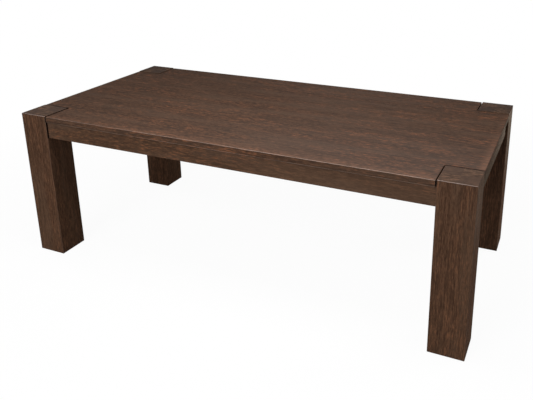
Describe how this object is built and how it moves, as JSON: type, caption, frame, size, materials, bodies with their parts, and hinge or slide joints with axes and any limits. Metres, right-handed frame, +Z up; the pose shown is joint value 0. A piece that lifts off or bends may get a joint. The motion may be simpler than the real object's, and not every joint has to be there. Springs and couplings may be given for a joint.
{
  "type": "dining table",
  "caption": "Long parsons dining table: a notched dark oak top, legs that rise through its corners with a narrow shadow gap, and set-back aprons.",
  "frame": {"origin": "on the floor, under the middle of the top", "axes": "+X along the length, towards the right end; +Y across the width, towards the rear; +Z up"},
  "size_m": [2.235, 1.067, 0.762],
  "materials": {
    "top_oak": "dark espresso stain, satin lacquer",
    "leg_oak": "dark espresso stain, satin lacquer",
    "frame_oak": "dark espresso stain, satin lacquer",
    "core_board": "bare board",
    "inner_wood": "thin dark stain, unlacquered",
    "dowel_beech": "bare beech",
    "zinc_steel": "zinc plated",
    "black_steel": "black oxide",
    "insert_brass": "plain brass",
    "glide_nylon": "dark nylon"
  },
  "bodies": {
    "root": {"top_face_layer": "top_oak", "top_backing_layer": "top_oak", "top_lipping_front": "top_oak", "top_lipping_rear": "top_oak", "top_lipping_left": "top_oak", "top_lipping_right": "top_oak", "notch_lippings": "top_oak", "top_core": "core_board", "front_apron": "frame_oak", "rear_apron": "frame_oak", "left_apron": "frame_oak", "right_apron": "frame_oak", "left_cross_rail": "inner_wood", "right_cross_rail": "inner_wood", "left_middle_rail": "inner_wood", "right_middle_rail": "inner_wood", "front_left_stub_rail": "inner_wood", "front_right_stub_rail": "inner_wood", "rear_left_stub_rail": "inner_wood", "rear_right_stub_rail": "inner_wood", "glue_blocks": "inner_wood", "rail_dowels": "dowel_beech", "top_clips": "zinc_steel", "top_clip_screws": "zinc_steel", "front_left_leg_front_board": "leg_oak", "front_left_leg_rear_board": "leg_oak", "front_left_leg_left_board": "leg_oak", "front_left_leg_right_board": "leg_oak", "front_left_leg_cap": "leg_oak", "front_left_leg_top_block": "inner_wood", "front_left_leg_foot_block": "inner_wood", "front_left_glide": "glide_nylon", "front_right_leg_front_board": "leg_oak", "front_right_leg_rear_board": "leg_oak", "front_right_leg_left_board": "leg_oak", "front_right_leg_right_board": "leg_oak", "front_right_leg_cap": "leg_oak", "front_right_leg_top_block": "inner_wood", "front_right_leg_foot_block": "inner_wood", "front_right_glide": "glide_nylon", "rear_left_leg_front_board": "leg_oak", "rear_left_leg_rear_board": "leg_oak", "rear_left_leg_left_board": "leg_oak", "rear_left_leg_right_board": "leg_oak", "rear_left_leg_cap": "leg_oak", "rear_left_leg_top_block": "inner_wood", "rear_left_leg_foot_block": "inner_wood", "rear_left_glide": "glide_nylon", "rear_right_leg_front_board": "leg_oak", "rear_right_leg_rear_board": "leg_oak", "rear_right_leg_left_board": "leg_oak", "rear_right_leg_right_board": "leg_oak", "rear_right_leg_cap": "leg_oak", "rear_right_leg_top_block": "inner_wood", "rear_right_leg_foot_block": "inner_wood", "rear_right_glide": "glide_nylon", "glide_screws": "zinc_steel", "leg_bolts": "black_steel", "leg_bolt_washers": "zinc_steel", "leg_inserts": "insert_brass"}
  },
  "joints": []
}
